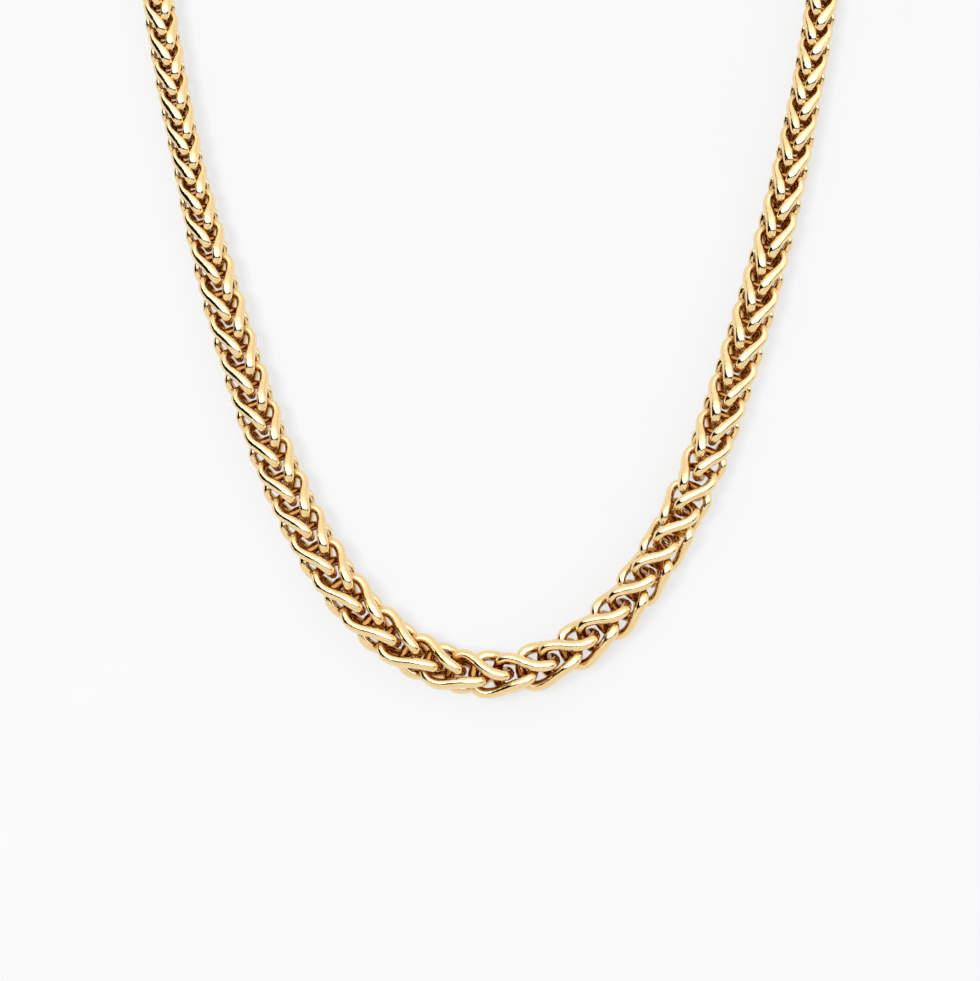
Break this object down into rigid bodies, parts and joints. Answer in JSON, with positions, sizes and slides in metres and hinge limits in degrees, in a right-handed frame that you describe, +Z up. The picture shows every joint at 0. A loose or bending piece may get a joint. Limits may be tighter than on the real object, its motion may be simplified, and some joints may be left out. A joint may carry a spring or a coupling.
{
  "type": "wheat chain necklace",
  "caption": "Graduated wheat chain necklace of interlocked twisted oval links, widest at the front, closed at the back by sleeves, rings and a plain clasp.",
  "frame": {"origin": "middle of the top of the loop, inside the closed clasp, where the necklace hangs", "axes": "+X across to the viewer's right, -Y out of the front face, +Z up; the necklace hangs in the XZ plane"},
  "size_m": [0.1132, 0.0078, 0.1771],
  "materials": {
    "chain_gold": "mirror-polished yellow gold",
    "clasp_gold": "mirror-polished yellow gold"
  },
  "bodies": {
    "root": {"chain_left": "chain_gold", "chain_right": "chain_gold", "cap_left": "clasp_gold", "cap_right": "clasp_gold", "ring_left": "clasp_gold", "ring_right": "clasp_gold", "clasp": "clasp_gold"}
  },
  "joints": []
}
